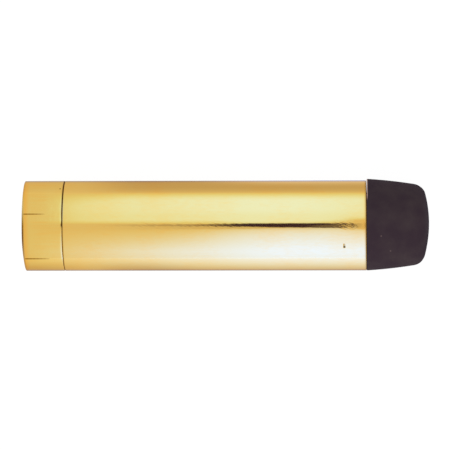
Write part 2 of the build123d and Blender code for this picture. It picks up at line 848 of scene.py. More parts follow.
@dataclass(frozen=True)
class MouldedRubber:
    """Black nitrile rubber, moulded and left matt.

    The eye gets a soft purplish black with hardly any highlight, a faint brown bloom in patches,
    a fine grain from the mould and a few specks of dust. A pale band of painted light, in the
    dust's colour, lies in the edge by the barrel on the +Y side.

    Args:
        name: The material's name.
        rubber: Its colour.
        bloom: Its colour where wax has come to the surface.
        dust_and_gleam: The colour of the dust specks and of the painted light in the edge.
        roughness: Of the surface.
        shine: Strength of its highlights.
        patch: Size of the patches of bloom.
        grain: Size of the mould's grain.
        grain_height: Its height.
        speck_spacing: From one speck of dust to the next.
        speck_size: How far a speck reaches from its middle, as a share of that spacing.
        speck_strength: How much of a speck's colour shows.
    """

    name: str
    rubber: str = "#31262D"
    bloom: str = "#3A3033"
    # Also the colour of the painted light in the edge by the barrel.
    dust_and_gleam: str = "#A88F88"
    roughness: float = 0.8
    shine: float = 0.06
    patch: float = 3.5
    grain: float = 0.16
    grain_height: float = 0.006
    speck_spacing: float = 3.2
    speck_size: float = 0.05
    speck_strength: float = 0.2

    def colour(
        self, tree: bpy.types.NodeTree, place: bpy.types.NodeSocket
    ) -> bpy.types.NodeSocket:
        """Adds the rubber's colours: plain, with patches of bloom, and dust and painted light on
        top.

        Args:
            tree: The node tree that they join.
            place: The coordinates.

        Returns:
            The colour.
        """
        bloom_start, bloom_full = 0.4, 0.75
        patches = add_node(
            tree,
            "ShaderNodeTexNoise",
            {"Vector": place, "Scale": 1 / (self.patch * MM), "Detail": 4.0},
        )
        specks = add_node(
            tree,
            "ShaderNodeTexVoronoi",
            {"Vector": place, "Scale": 1 / (self.speck_spacing * MM)},
        )
        bloomed = add_node(
            tree,
            "ShaderNodeMapRange",
            {"Value": patches.outputs["Fac"], "From Min": bloom_start, "From Max": bloom_full},
        )
        dusty = add_node(
            tree,
            "ShaderNodeMapRange",
            {
                "Value": specks.outputs["Distance"],
                "From Min": self.speck_size,
                "From Max": self.speck_size * 0.4,
                "To Max": self.speck_strength,
            },
        )
        # Painted light: the pale band in the edge by the barrel, in the dust's colour.
        rim_gleam = add_node(tree, "ShaderNodeAttribute", attribute_name=Look.DUST_AND_GLEAM.value)
        specks_and_gleam = add_node(
            tree,
            "ShaderNodeMath",
            {0: dusty.outputs["Result"], 1: rim_gleam.outputs["Fac"]},
            operation="MAXIMUM",
        )
        colour: bpy.types.NodeSocket | tuple[float, ...] = linear_colour(self.rubber)
        for strength, tint in (
            (bloomed.outputs["Result"], self.bloom),
            (specks_and_gleam.outputs["Value"], self.dust_and_gleam),
        ):
            inputs = {"Factor": strength, "A": colour, "B": linear_colour(tint)}
            mixed = add_node(tree, "ShaderNodeMix", inputs, data_type="RGBA")
            colour = mixed.outputs["Result"]
        return colour

    def material(self) -> bpy.types.Material:
        """Builds the material.

        Returns:
            The material.
        """
        material, tree = new_material(self.name)
        place = add_node(tree, "ShaderNodeTexCoord").outputs["Object"]
        grains = add_node(
            tree,
            "ShaderNodeTexNoise",
            {"Vector": place, "Scale": 1 / (self.grain * MM), "Detail": 2.0},
        )
        shader = add_node(
            tree,
            "ShaderNodeBsdfPrincipled",
            {
                "Base Color": self.colour(tree, place),
                "Roughness": self.roughness,
                "Specular IOR Level": self.shine,
                "IOR": 1.5,
                "Normal": stacked_relief(tree, [(grains.outputs["Fac"], self.grain_height * MM)]),
            },
        )
        add_node(tree, "ShaderNodeOutputMaterial", {"Surface": shader.outputs["BSDF"]})
        return material


# The three pieces


@dataclass(frozen=True)
class WallBase:
    """The turned base: a collar against the wall and a threaded spigot inside the barrel.

    Args:
        at: The shared places and radii.
        thread: The screw thread on the spigot.
        finish: Its finish.
        back_round: Round of the collar's back edge.
        joint_round: Round of its edge at the joint.
        edge_roll: How far the edge at the joint is rolled over.
        edge_roll_width: Width of the rolled strip.
        out_of_square: How much the back edge lacks on the -Y side.
        skewed: Where that ends, and up to where it is full, from the back edge.
        joint_hair: Width of the dirt and painted shade in the joint on the -Y side.
        joint_line: How much wider it is on the +Y side.
        joint_nick: How much wider it is at the nick on top.
        back_painted_shade: Where the back edge's painted shade ends, and up to where it is full.
        back_lacquer: The same for the pooled lacquer.
        screw_hole: Radius of the screw hole.
        countersink: Radius of the countersink.
        driver_recess: Radius of the recess in front of it.
        web: From the wall to the floor of the recess.
        spigot: Radius over the thread.
        relief: Radius of the groove where the thread runs out.
        relief_width: Width of that groove.
        spigot_lead: Chamfer on the spigot's end.
        columns: Even mesh columns round it.
        scores: The hair lines on the collar.
        pits: The pits in it.
    """

    at: Stations
    thread: FineThread
    finish: LacqueredBrass
    back_round: float = 0.12
    joint_round: float = 0.11
    edge_roll: float = 0.016
    edge_roll_width: float = 0.36
    out_of_square: float = 0.16
    skewed: tuple[float, float] = (1.0, 0.4)
    joint_hair: float = 0.01
    joint_line: float = 0.17
    joint_nick: float = 0.12
    back_painted_shade: tuple[float, float] = (0.42, 0.18)
    back_lacquer: tuple[float, float] = (1.5, 0.4)
    screw_hole: float = 2.25
    countersink: float = 4.3
    driver_recess: float = 4.8
    web: float = 6.2
    spigot: float = 6.95
    relief: float = 6.35
    relief_width: float = 1.0
    spigot_lead: float = 0.5
    columns: int = 288
    scores: tuple[ScoreLine, ...] = (ScoreLine(15.1, 4.0), ScoreLine(-46.6, 4.8, 0.44))
    pits: tuple[Pit, ...] = (Pit(6.55, 55.3, 0.28, 0.35, 0.05),)

    def corners(self) -> list[Corner]:
        """The outline: back face, collar, thread relief, spigot, driver recess and countersink.

        Returns:
            Its corners.
        """
        at, step = self.at, self.thread.step
        relief_end = at.joint + self.relief_width
        thread_start = relief_end + self.spigot - self.relief
        countersink_end = self.web - self.countersink + self.screw_hole
        return [
            Corner(at.back, self.screw_hole, rounding=0.12, step=0.8),
            Corner(at.back, at.outside, rounding=self.back_round, step=0.12),
            Corner(at.joint, at.outside, rounding=self.joint_round),
            Corner(at.joint, self.relief, rounding=0.08),
            Corner(relief_end, self.relief, rounding=0.08),
            Corner(thread_start, self.spigot, step=step),
            Corner(at.spigot_end - self.spigot_lead, self.spigot, step=step),
            Corner(at.spigot_end, self.spigot - self.spigot_lead, rounding=0.05),
            Corner(at.spigot_end, self.driver_recess, rounding=0.15, step=1.5),
            Corner(self.web, self.driver_recess, rounding=0.1),
            Corner(self.web, self.countersink, rounding=0.05, step=0.5),
            Corner(countersink_end, self.screw_hole, step=1.0),
        ]

    def skin(self) -> TurnedSkin:
        """Spins the outline, cuts the thread into the spigot, and adds the marks on the collar.

        Returns:
            The skin, with dirt, painted shade and wear.
        """
        half_score, half_pit = 1.6, 2.0
        fine = [(score.angle, half_score) for score in self.scores]
        fine += [(pit.angle, half_pit) for pit in self.pits]
        points = outline(self.corners(), Ends.RING)
        skin = TurnedSkin.spun(points, column_angles(self.columns, fine), Ends.RING)
        threaded = (skin.x > self.at.joint + self.relief_width) & (skin.r > self.relief)
        cut = self.spigot - self.thread.groove(skin.x, skin.angle)
        skin.r = np.where(threaded, np.minimum(skin.r, cut), skin.r)
        for score in self.scores:
            skin.sink(score.relief(skin), Look.STAIN)
        for pit in self.pits:
            skin.sink(pit.relief(skin), Look.GRIME_AND_SHADE)
        across = np.sin(skin.angle)
        far_side = smoothstep(-0.06, 0.02, across)
        self.soil_and_shade(skin, across, far_side)
        self.wear(skin, across, far_side)
        return skin

    def soil_and_shade(self, skin: TurnedSkin, across: np.ndarray, far_side: np.ndarray) -> None:
        """Paints dirt and shade in the joint, shade on the back edge, and pools lacquer there.

        The dirt and painted shade in the joint are a hair wide on the -Y side and wider on the +Y
        side, where they have one thin place, and a nick on top. The painted shade at the back edge
        is darkest a little to the -Y side of the top.

        Args:
            skin: The skin.
            across: Sine of each point's angle.
            far_side: How far each point is on the +Y side, from 0 to 1.
        """
        outer = self.at.on_outside(skin.r)
        before_joint = self.at.joint - skin.x
        # In the joint: dirt, and painted shade of the gap on the rounded edges.
        line = self.joint_line * far_side * (1.0 - 0.25 * hump(0.14, 0.08, across))
        reach = self.joint_hair + line + self.joint_nick * hump(0.02, 0.02, across)
        full_reach = 0.45 * reach
        skin.show(Look.GRIME_AND_SHADE, outer * smoothstep(reach, full_reach, before_joint))
        # Painted shade: the dark crescent on the back edge.
        back_shade, back_pool = 0.2 + 0.8 * hump(-0.2, 0.5, across), 0.85
        skin.show(Look.GRIME_AND_SHADE, back_shade * outer * smoothstep(*self.back_painted_shade, skin.x))
        skin.show(Look.LACQUER, back_pool * outer * smoothstep(*self.back_lacquer, skin.x))

    def wear(self, skin: TurnedSkin, across: np.ndarray, far_side: np.ndarray) -> None:
        """Rolls the edge at the joint over, less on the +Y side, and skews the back edge.

        Args:
            skin: The skin.
            across: Sine of each point's angle.
            far_side: How far each point is on the +Y side, from 0 to 1.
        """
        before_joint = self.at.joint - skin.x
        rolled = np.clip(1.0 - before_joint / self.edge_roll_width, 0.0, 1.0) ** 2
        rolled = rolled * (before_joint >= 0.0) * self.at.on_outside(skin.r)
        skin.r = skin.r - self.edge_roll * rolled * (1.0 - 0.5 * far_side)
        near_back = smoothstep(*self.skewed, skin.x)
        skin.x = skin.x + self.out_of_square * near_back * smoothstep(-0.3, -1.0, across)

    def build(self) -> bpy.types.Object:
        """Makes and dresses the piece."""
        mesh = self.skin().mesh("base_turned")
        return stand_for(mesh, self.finish.material(), "wall_base")


@dataclass(frozen=True)
class Barrel:
    """The drawn tube, threaded inside at the end that takes the base's spigot.

    Args:
        at: The shared places and radii.
        thread: The screw thread in its bore.
        finish: Its finish.
        bore: Radius of the bore.
        threaded_bore: Radius at the roots of its thread.
        mouth: Chamfer on the bore at both ends.
        joint_round: Round of the outer edge at the joint.
        tip_round: Round of the outer edge at the tip end.
        out_of_square: How much the tip end lacks on the +Y side.
        skewed: Where that ends, and up to where it is full, from the tip end.
        joint_dirt_and_shade: Width of the dirt and painted shade in the joint on the -Y side.
        end_painted_shade: Where the painted shade at the tip end ends, and up to where it is full.
        end_lacquer: The same for the pooled lacquer.
        handled: How strong the scuffs at mid-length are.
        runout: How much deeper the thread goes than the spigot.
        columns: Even mesh columns round it.
        pit: The pit near the tip.
        pit_tail: The shallow tail beside it.
        pit_stretch: Half the length of the closest mesh rows, round the pit.
    """

    at: Stations
    thread: FineThread
    finish: LacqueredBrass
    bore: float = 6.5
    threaded_bore: float = 7.0
    mouth: float = 0.35
    joint_round: float = 0.19
    tip_round: float = 0.15
    out_of_square: float = 0.07
    skewed: tuple[float, float] = (1.0, 0.4)
    joint_dirt_and_shade: float = 0.24
    end_painted_shade: tuple[float, float] = (0.32, 0.06)
    end_lacquer: tuple[float, float] = (1.0, 0.3)
    handled: float = 0.55
    runout: float = 0.8
    columns: int = 288
    pit: Pit = Pit(56.86, -28.2, 0.4, 0.5, 0.09)
    pit_tail: Pit = Pit(56.84, -25.7, 0.34, 0.75, 0.022)
    pit_stretch: float = 0.35

    @property
    def thread_end(self) -> float:
        """Station where the threaded bore ends."""
        return self.at.spigot_end + self.runout

    def corners(self) -> list[Corner]:
        """The outline: back end, outside, front end, bore and threaded bore.

        Returns:
            Its corners.
        """
        at, step = self.at, self.thread.step
        dirt_length = 0.6
        mouth_end = at.joint + self.threaded_bore + self.mouth - self.bore
        return [
            Corner(at.joint, self.threaded_bore + self.mouth, rounding=0.05),
            Corner(at.joint, at.outside, rounding=self.joint_round, step=0.05),
            Corner(at.joint + dirt_length, at.outside, step=1.2),
            Corner(self.pit.x - self.pit_stretch, at.outside, step=0.04),
            Corner(self.pit.x + self.pit_stretch, at.outside, step=0.25),
            Corner(at.barrel_end, at.outside, rounding=self.tip_round),
            Corner(at.barrel_end, self.bore + self.mouth, rounding=0.05),
            Corner(at.barrel_end - self.mouth, self.bore, step=2.5),
            Corner(self.thread_end, self.bore, step=step),
            Corner(mouth_end, self.bore, step=step),
        ]

    def skin(self) -> TurnedSkin:
        """Spins the outline, cuts the thread into the bore, and adds the pit.

        The cutter leaves the bore over the runout, and the mouth's cone cuts the first turn.

        Returns:
            The skin, with dirt, painted shade and wear.
        """
        half_pit, half_tail = 2.6, 3.2
        fine = [(self.pit.angle, half_pit), (self.pit_tail.angle, half_tail)]
        points = outline(self.corners(), Ends.RING)
        skin = TurnedSkin.spun(points, column_angles(self.columns, fine), Ends.RING)
        inside = (skin.x < self.thread_end) & (skin.r < self.threaded_bore + self.mouth)
        deep = smoothstep(self.thread_end, self.thread_end - self.runout, skin.x)
        ridges = self.threaded_bore - self.thread.groove(skin.x, skin.angle)
        cut = self.bore + (ridges - self.bore) * deep
        skin.r = np.where(inside, np.maximum(skin.r, cut), skin.r)
        hollow = np.maximum(self.pit.relief(skin), self.pit_tail.relief(skin))
        skin.sink(hollow, Look.OXIDE)
        across = np.sin(skin.angle)
        before_end = self.at.barrel_end - skin.x
        self.soil_and_shade(skin, across, before_end)
        self.scuff(skin, across, before_end)
        near_end = smoothstep(*self.skewed, before_end)
        skin.x = skin.x - self.out_of_square * near_end * smoothstep(0.3, 1.0, across)
        return skin

    def soil_and_shade(self, skin: TurnedSkin, across: np.ndarray, before_end: np.ndarray) -> None:
        """Paints dirt and shade in the joint, shade on the tip end, and pools lacquer there.

        In the joint the darkening is darker and narrower on the +Y side. At the tip end the painted
        shade is darkest on top.

        Args:
            skin: The skin.
            across: Sine of each point's angle.
            before_end: How far each point is from the tip end.
        """
        outer = self.at.on_outside(skin.r)
        far_side = smoothstep(-0.06, 0.02, across)
        after_joint = skin.x - self.at.joint
        # In the joint: dirt, and painted shade of the gap on the rounded edge.
        reach, joint_grime_and_shade = self.joint_dirt_and_shade - 0.06 * far_side, 0.55 + 0.45 * far_side
        full_reach = 0.5 * reach
        skin.show(Look.GRIME_AND_SHADE, joint_grime_and_shade * outer * smoothstep(reach, full_reach, after_joint))
        # Painted shade on the tip end's rim, darkest on top, beside pooled lacquer.
        middle = smoothstep(-0.7, 0.0, across) * smoothstep(0.85, 0.45, across)
        end_shade, end_pool = 0.55 + 0.25 * middle, 0.2 + 0.5 * middle
        skin.show(Look.GRIME_AND_SHADE, end_shade * outer * smoothstep(*self.end_painted_shade, before_end))
        skin.show(Look.LACQUER, end_pool * outer * smoothstep(*self.end_lacquer, before_end))

    def scuff(self, skin: TurnedSkin, across: np.ndarray, before_end: np.ndarray) -> None:
        """Scuffs a narrow strip on top: in full near the tip, and about half as much mid-length.

        Args:
            skin: The skin.
            across: Sine of each point's angle.
            before_end: How far each point is from the tip end.
        """
        mid_length = smoothstep(13.0, 22.0, skin.x) * smoothstep(44.0, 35.0, skin.x)
        by_tip = smoothstep(6.4, 5.0, before_end)
        scuffed = np.maximum(self.handled * mid_length, by_tip) * smoothstep(1.3, 2.4, before_end)
        on_top = self.at.on_outside(skin.r) * smoothstep(0.14, 0.07, np.abs(across))
        skin.show(Look.SCUFF, scuffed * on_top)

    def build(self) -> bpy.types.Object:
        """Makes and dresses the piece."""
        mesh = self.skin().mesh("barrel_tube")
        return stand_for(mesh, self.finish.material(), "barrel")


@dataclass(frozen=True)
class Buffer:
    """The moulded buffer: a tapered, domed head and a stem with barbed ribs.

    The head sits a little off the axis, and its lip stands off the barrel's end on one side.

    Args:
        at: The shared places and radii.
        finish: Its finish.
        draw_in: How much smaller the head's radius is at the corner than at the rim.
        side_bulge: How far the side bulges over its chord.
        dome_height: Height of the dome, measured where side and dome would meet unrounded.
        corner_radius: Round between side and dome.
        rim_round: Round of the rim's edge by the barrel.
        stem: Radius of the stem.
        neck_root: Slope where the stem meets the head.
        neck_length: Plain stretch of stem behind the head.
        rib: Radius over the ribs.
        rib_count: How many ribs.
        rib_pitch: From one rib to the next.
        rib_land: Width of a rib's land.
        rib_gap: Plain stem between two ribs.
        stem_lead: Chamfer on the stem's end.
        off_axis: How far the head is shifted towards +Y.
        dome_shift: How much further the tip is shifted.
        dome_reach: How far behind the tip that shift starts.
        lip_lift: How far the lip stands off the barrel.
        lip_fade: How far along the head the lift dies away.
        columns: Even mesh columns round it.
    """

    at: Stations
    finish: MouldedRubber
    draw_in: float = 1.18
    side_bulge: float = 0.15
    dome_height: float = 1.15
    corner_radius: float = 2.45
    rim_round: float = 0.17
    stem: float = 5.38
    neck_root: float = 0.4
    neck_length: float = 2.0
    rib: float = 6.48
    rib_count: int = 3
    rib_pitch: float = 3.0
    rib_land: float = 0.4
    rib_gap: float = 0.6
    stem_lead: float = 0.5
    off_axis: float = 0.13
    dome_shift: float = 0.22
    dome_reach: float = 1.7
    lip_lift: float = 0.03
    lip_fade: float = 5.0
    columns: int = 256

    def head(self) -> np.ndarray:
        """The head's outline from the rim to the tip, as three arcs that touch smoothly.

        The side is an arc with a given bulge over its chord. The dome is an arc centred on the
        axis. The corner's centre lies a corner radius inside both, where two circles cross.

        Returns:
            An array of stations and radii.
        """
        at = self.at
        side_points, turn_points, dome_points = 28, 22, 26
        rim = np.array([at.barrel_end, at.rim])
        corner = np.array([at.tip - self.dome_height, at.rim - self.draw_in])
        chord = float(np.linalg.norm(corner - rim))
        side_radius = (chord**2 / 4 + self.side_bulge**2) / (2 * self.side_bulge)
        along = (corner - rim) / chord
        inward = np.array([along[1], -along[0]])
        side_centre = (rim + corner) / 2 + inward * (side_radius - self.side_bulge)
        dome_radius = (corner[1] ** 2 + self.dome_height**2) / (2 * self.dome_height)
        dome_centre = np.array([at.tip - dome_radius, 0.0])
        reach_side, reach_dome = side_radius - self.corner_radius, dome_radius - self.corner_radius
        between = dome_centre - side_centre
        apart = float(np.linalg.norm(between))
        onward = between / apart
        ahead = (apart**2 + reach_side**2 - reach_dome**2) / (2 * apart)
        aside = math.sqrt(reach_side**2 - ahead**2)
        crossing = [
            side_centre + onward * ahead + sign * aside * np.array([-onward[1], onward[0]])
            for sign in (-1, 1)
        ]
        corner_centre = max(crossing, key=lambda point: point[0])

        def bearing(centre: np.ndarray, point: np.ndarray) -> float:
            """Direction of a point from a centre, in radians."""
            return math.atan2(point[1] - centre[1], point[0] - centre[0])

        def arc(
            centre: np.ndarray, radius: float, first: float, last: float, count: int
        ) -> np.ndarray:
            """Points of an arc, evenly spaced."""
            angles = np.linspace(first, last, count)
            return centre + radius * np.column_stack([np.cos(angles), np.sin(angles)])

        side_start = bearing(side_centre, rim)
        side_end = bearing(side_centre, corner_centre)
        dome_start = bearing(dome_centre, corner_centre)
        side = arc(side_centre, side_radius, side_start, side_end, side_points)
        turn = arc(corner_centre, self.corner_radius, side_end, dome_start, turn_points)
        dome = arc(dome_centre, dome_radius, dome_start, 0.0, dome_points)
        return np.vstack([side, turn[1:], dome[1:]])

    def back(self) -> list[Corner]:
        """The outline from the stem's end on the axis to the head's rim, rib by rib.

        The first rib starts so close to the lead that its foot isn't rounded.

        Returns:
            Its corners.
        """
        at = self.at
        lead_end = at.stem_end + self.stem_lead
        clear = 0.02  # keeps the first rib's foot off the round at the lead's end
        found = [
            Corner(at.stem_end, 0.0, step=1.5),
            Corner(at.stem_end, self.stem - self.stem_lead, rounding=0.12),
            Corner(lead_end, self.stem, rounding=0.08, step=0.5),
        ]
        for number in reversed(range(self.rib_count)):
            face = at.barrel_end - self.neck_length - number * self.rib_pitch
            ramp_end = face - self.rib_pitch + self.rib_gap
            if number == self.rib_count - 1:
                found.append(Corner(ramp_end + clear, self.stem, step=0.5))
            else:
                found.append(Corner(ramp_end, self.stem, rounding=0.08, step=0.5))
            found.append(Corner(face - self.rib_land, self.rib, rounding=0.08))
            found.append(Corner(face, self.rib, rounding=0.06))
            found.append(Corner(face, self.stem, rounding=0.06, step=0.5))
        found.append(Corner(at.barrel_end - self.neck_root, self.stem, rounding=0.08))
        found.append(Corner(at.barrel_end, self.stem + self.neck_root, rounding=0.05, step=0.3))
        found.append(Corner(at.barrel_end, at.rim, rounding=self.rim_round))
        return found

    def skin(self) -> TurnedSkin:
        """Spins the outline, shifts the head and its dome, and lifts the lip, most on the +Y side.

        Returns:
            The skin, with a band of painted light in the edge under the lip.
        """
        head = self.head()
        aimed_at = 3
        ahead = Corner(float(head[aimed_at, 0]), float(head[aimed_at, 1]))
        back = outline([*self.back(), ahead], Ends.ON_AXIS)[:-1]
        points = np.vstack([back, head[1:]])
        skin = TurnedSkin.spun(points, column_angles(self.columns), Ends.ON_AXIS)
        across = np.sin(skin.angle)
        reach = skin.x - self.at.barrel_end
        on_head = smoothstep(-0.05, 0.0, reach)
        length = self.at.tip - self.at.barrel_end
        dome = smoothstep(length - self.dome_reach, length, reach)
        skin.shift_y = on_head * (self.off_axis + self.dome_shift * dome)
        # Painted light: a pale band in the rim's edge on the +Y side, by the barrel.
        edge = smoothstep(self.rim_round, 0.75 * self.rim_round, reach) * (skin.r > self.stem + 2.0)
        skin.show(Look.DUST_AND_GLEAM, edge * on_head * smoothstep(0.5, 0.66, across))
        outer = smoothstep(self.stem, self.stem + 0.9, skin.r) * on_head
        lifted = smoothstep(0.45, 0.95, across) * smoothstep(self.lip_fade, 0.0, reach)
        skin.x = skin.x + self.lip_lift * lifted * outer
        return skin

    def build(self) -> bpy.types.Object:
        """Makes and dresses the piece."""
        mesh = self.skin().mesh("buffer_moulding")
        return stand_for(mesh, self.finish.material(), "buffer")


# Studio


@dataclass(frozen=True)
class Viewpoint:
    """The camera, which looks down on the stop as it lies on its side.

    Args:
        aim: The point at the middle of the picture.
        distance: From the aim to the camera.
        lean: How far the line of sight leans towards the tip, in degrees.
        roll: How far the picture is turned, in degrees.
        lens: Focal length.
        sensor: Width of the sensor.
    """

    aim: tuple[float, float, float] = (35.6, 0.107, 0.0)
    distance: float = 620.0
    lean: float = 2.05
    roll: float = 0.1
    lens: float = 278.4
    sensor: float = 36.0

    @property
    def station(self) -> float:
        """The camera's own place along the axis."""
        return self.aim[0] + self.distance * math.sin(math.radians(self.lean))

    def build(self) -> bpy.types.Object:
        """Makes the camera: its back points from the aim to it, and its right runs along +X.

        Returns:
            The camera.
        """
        lean, roll = math.radians(self.lean), math.radians(self.roll)
        back = Vector((math.sin(lean), 0.0, math.cos(lean)))
        level_right = Vector((math.cos(lean), 0.0, -math.sin(lean)))
        right = level_right * math.cos(roll) - Vector((0.0, 1.0, 0.0)) * math.sin(roll)
        up = back.cross(right)
        turned = Matrix((right, up, back)).transposed().to_4x4()
        data = bpy.data.cameras.new("camera")
        data.lens = self.lens
        data.sensor_width = self.sensor
        camera = bpy.data.objects.new("camera", data)
        place = (Vector(self.aim) + back * self.distance) * MM
        camera.matrix_world = Matrix.Translation(place) @ turned
        bpy.context.scene.collection.objects.link(camera)
        bpy.context.scene.camera = camera
        return camera


@dataclass(frozen=True)
class SoftboxTint:
    """How a softbox looks in the brass as it gets stronger.

    A camera's film bleaches a strong highlight on brass to near white. These softboxes are bluish
    in the brass's own measure instead, so their highlights come out as pale.

    Args:
        lift: Added red, green and blue light at full level.
        power: How soon each builds up: the light is lift * level ** power.
    """

    lift: tuple[float, float, float]
    power: tuple[float, float, float]

    def light(self, level: np.ndarray) -> np.ndarray:
        """Light of each colour, as a last axis of three."""
        return np.array(self.lift) * level[..., None] ** np.array(self.power)


@dataclass(frozen=True)
class Profile:
    """A value that changes smoothly from station to station.

    Args:
        first: Its value before any change.
        changes: For each change, how much it adds, where it starts and where it is complete.
    """

    first: float
    changes: tuple[tuple[float, float, float], ...]

    def at(self, station: np.ndarray) -> np.ndarray:
        """The value: first, and the sum of amount * smoothstep(start, end, station)."""
        steps = [amount * smoothstep(start, end, station) for amount, start, end in self.changes]
        return self.first + np.sum(steps, axis=0)


@dataclass(frozen=True)
class SoftboxTent:
    """What the brass mirrors: a vault with two softboxes and a dark gap, and cards on the floor.

    Only mirror rays meet them. Where nothing is lit or dark, they let the white room through.
    Places along the vault are given as the barrel's station where the camera sees them mirrored,
    and places round it in degrees from straight up towards +Y.

    Args:
        view: The camera's viewpoint.
        receivers: The collection of brass pieces that the softboxes light.
        at: The shared places and radii.
        vault_radius: Its radius.
        vault_length: Its length.
        vault_edge: How far it comes down on both sides.
        boxes_end: Where both softboxes end, beyond the tip.
        far_box: The softbox on the +Y side.
        far_rise: What the far softbox's level adds after its first rise.
        far_outer_edge: Where its outer edge is at full level.
        far_inner_edge: Where its inner edge is.
        near_box: The softbox on the -Y side.
        near_power: How its level builds up towards the side: slowly where this is large.
        near_inner_edge: Where its inner edge is, measured towards -Y.
        gap_depth: How dark the gap is.
        gap_half_width: Half its width.
        gap_middle: Where its middle is.
        gap_glow: Light that is left in the gap.
        contact_glow: Light on the floor close under the barrel, on the +Y side.
        shade: How much a shadow takes of red, green and blue.
        contact_shade: The same for the line of contact.
    """

    view: Viewpoint
    receivers: bpy.types.Collection
    at: Stations
    vault_radius: float = 350.0
    vault_length: float = 1400.0
    vault_edge: float = 91.5
    boxes_end: float = 75.0
    far_box: SoftboxTint = SoftboxTint((0.163, 0.768, 3.0), (0.42, 0.46, 0.87))
    far_rise: Profile = Profile(
        0.0, ((0.325, 17.0, 45.0), (-0.225, 49.0, 60.0), (1.2, -8.0, -30.0))
    )
    far_outer_edge: Profile = Profile(64.3, ((-18.2, 20.0, 8.0),))
    far_inner_edge: Profile = Profile(
        16.0, ((-4.0, 33.0, 42.0), (4.0, 50.0, 53.0), (9.0, 55.5, 58.5))
    )
    near_box: SoftboxTint = SoftboxTint((0.185, 0.972, 6.92), (0.416, 0.664, 1.0))
    near_power: Profile = Profile(0.51, ((0.87, 42.0, 20.0),))
    near_inner_edge: Profile = Profile(7.9, ((-3.0, 40.0, 46.0), (5.0, 56.0, 59.5)))
    gap_depth: Profile = Profile(0.0, ((0.37, 12.0, 28.0), (0.62, 27.5, 39.0)))
    gap_half_width: Profile = Profile(2.5, ((3.0, 26.0, 50.0),))
    gap_middle: Profile = Profile(1.0, ((-0.8, 38.0, 50.0), (-0.9, 52.0, 57.0)))
    gap_glow: tuple[float, float, float] = (0.044, 0.024, 0.12)
    contact_glow: SoftboxTint = SoftboxTint((0.48, 0.65, 1.4), (1.0, 1.0, 1.0))
    shade: tuple[float, float, float] = (0.88, 1.08, 1.0)
    contact_shade: tuple[float, float, float] = (1.0, 0.93, 0.7)

    def seen_station(self, x: np.ndarray, path: np.ndarray | float) -> np.ndarray:
        """Station on the barrel where the camera sees a place mirrored.

        The ray from the station s leans by (s - camera station) / camera height, and goes on at
        that lean after the mirror, so x = s + (s - camera station) * path / height.

        Args:
            x: The place along the axis.
            path: How far it is from the barrel, across the axis.

        Returns:
            The station.
        """
        ratio = path / (self.view.distance - self.at.outside)
        return (x + ratio * self.view.station) / (1 + ratio)

    def far_level(self, station: np.ndarray, turn: np.ndarray) -> np.ndarray:
        """Level of the softbox on the +Y side.

        It first builds up as 1 - exp(-distance / 6.6), and then in a second step. Its outer edge
        is softer near the wall. Towards the tip its inner edge comes up to the gap, and then draws
        back. Beyond the wall is more of it, which only edges that face the wall show.

        Args:
            station: Where the camera sees each place mirrored.
            turn: Each place's angle from straight up.

        Returns:
            The level.
        """
        first_rise, rise_start, rise_length = 0.675, 5.67, 6.6
        outer_end, inner_fade = 92.4, 11.6
        distance = np.clip(station - rise_start, 0.0, None)
        along = first_rise * (1.0 - np.exp(-distance / rise_length)) + self.far_rise.at(station)
        outer = smoothstep(outer_end, self.far_outer_edge.at(station), turn)
        inner_edge = self.far_inner_edge.at(station)
        inner = smoothstep(inner_edge - inner_fade, inner_edge, turn)
        inner = inner * (0.72 + 0.28 * smoothstep(20.0, 45.0, turn))
        return along * outer * inner * (station < self.boxes_end)

    def near_level(self, station: np.ndarray, turn: np.ndarray) -> np.ndarray:
        """Level of the softbox on the -Y side, which reaches the gap only far from the wall.

        From its inner edge it builds up to the side as distance ** near_power.

        Args:
            station: Where the camera sees each place mirrored.
            turn: Each place's angle from straight up.

        Returns:
            The level.
        """
        rise_width, side_loss = 58.4, 0.11
        distance = np.clip((-self.near_inner_edge.at(station) - turn) / rise_width, 0.0, 1.0)
        rise = distance ** self.near_power.at(station)
        fall = 1.0 - side_loss * smoothstep(-70.0, -92.0, turn)
        return self.near_along(station) * rise * fall

    def near_along(self, station: np.ndarray) -> np.ndarray:
        """Level of the near softbox and of the card under it, along the stop: distance ** 1.09.

        Args:
            station: Where the camera sees each place mirrored.

        Returns:
            The level, from 0 to 1.
        """
        rise_start, rise_length, rise_power = 1.8, 44.0, 1.09
        distance = np.clip((station - rise_start) / rise_length, 0.0, 1.0)
        return distance**rise_power * (station < self.boxes_end)

    def gap_darkness(self, station: np.ndarray, turn: np.ndarray) -> np.ndarray:
        """Darkness of the gap overhead, which widens along the barrel and closes near its end.

        It bulges a little at 53 mm from the wall. A thread of light thins it from 50.5 to 56.5 mm,
        and a faint skirt lies along its -Y side.

        Args:
            station: Where the camera sees each place mirrored.
            turn: Each place's angle from straight up.

        Returns:
            The darkness, from 0 to 1.
        """
        blur, bulge, slit_depth, skirt_depth = 1.3, 0.7, 0.3, 0.12
        end_loss = 1.0 - 0.1 * smoothstep(52.0, 57.0, station)
        depth = self.gap_depth.at(station) * end_loss * smoothstep(59.2, 57.5, station)
        half_width = self.gap_half_width.at(station) + bulge * hump(53.2, 1.1, station)
        aside = np.abs(turn - self.gap_middle.at(station))
        across = smoothstep(half_width + blur, half_width - blur, aside)
        slit = smoothstep(50.5, 52.0, station) * smoothstep(56.5, 54.5, station)
        slit = slit_depth * slit * hump(-1.6, 1.2, turn)
        skirt = skirt_depth * smoothstep(14.0, 30.0, station) * smoothstep(60.0, 57.0, station)
        skirt = skirt * smoothstep(-11.0, -6.0, turn) * smoothstep(1.0, -2.0, turn)
        return np.clip(np.maximum(depth * across - slit, skirt), 0.0, 1.0)

